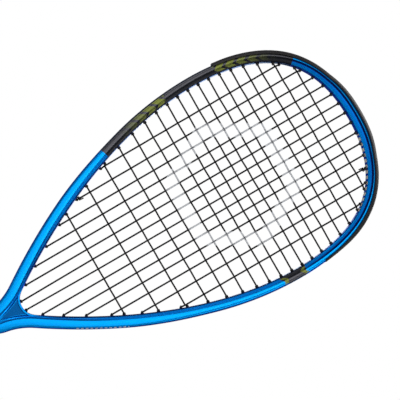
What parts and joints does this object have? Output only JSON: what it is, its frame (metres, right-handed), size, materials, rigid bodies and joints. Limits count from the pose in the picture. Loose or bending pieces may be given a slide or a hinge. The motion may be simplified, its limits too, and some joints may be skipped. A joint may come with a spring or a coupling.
{
  "type": "squash racket",
  "caption": "Strung squash racket with a teardrop hoop, open throat, slim shaft and wound grip; a bumper guards the tip and grommets line the string holes.",
  "frame": {"origin": "centre of the flat end face of the butt cap", "axes": "+Z runs from the butt to the tip; the string bed lies in the XZ plane at y = 0; Y is the depth of the frame, and -Y is the face that carries the panel on its left"},
  "size_m": [0.2126, 0.0328, 0.6855],
  "materials": {
    "frame_paint": "metallic blue lacquer on a carbon laminate, with charcoal panels",
    "bumper": "satin moulded nylon",
    "grommet": "satin moulded nylon",
    "string": "smooth black multifilament",
    "pallet_foam": "moulded rigid foam",
    "butt_cap": "satin moulded cap",
    "steel": "bright wire",
    "grip": "perforated soft synthetic leather",
    "tape": "thin plastic tape",
    "collar": "matt rubber",
    "silicone": "cured silicone"
  },
  "bodies": {
    "root": {"frame": "frame_paint", "bumper_guard": "bumper", "side_grommet_strip_left": "grommet", "side_grommet_strip_right": "grommet", "throat_grommet_left_1": "grommet", "throat_grommet_left_2": "grommet", "throat_grommet_left_3": "grommet", "throat_grommet_left_4": "grommet", "throat_grommet_left_5": "grommet", "throat_grommet_right_1": "grommet", "throat_grommet_right_2": "grommet", "throat_grommet_right_3": "grommet", "throat_grommet_right_4": "grommet", "throat_grommet_right_5": "grommet", "main_string": "string", "cross_string": "string", "main_string_knot": "string", "cross_string_knot": "string", "handle_pallet_left": "pallet_foam", "handle_pallet_right": "pallet_foam", "butt_cap": "butt_cap", "cap_staple_left_1": "steel", "cap_staple_left_2": "steel", "cap_staple_right_1": "steel", "cap_staple_right_2": "steel", "grip_wrap": "grip", "finishing_tape": "tape", "grip_collar": "collar", "balance_plug_left": "silicone", "balance_plug_right": "silicone"}
  },
  "joints": []
}
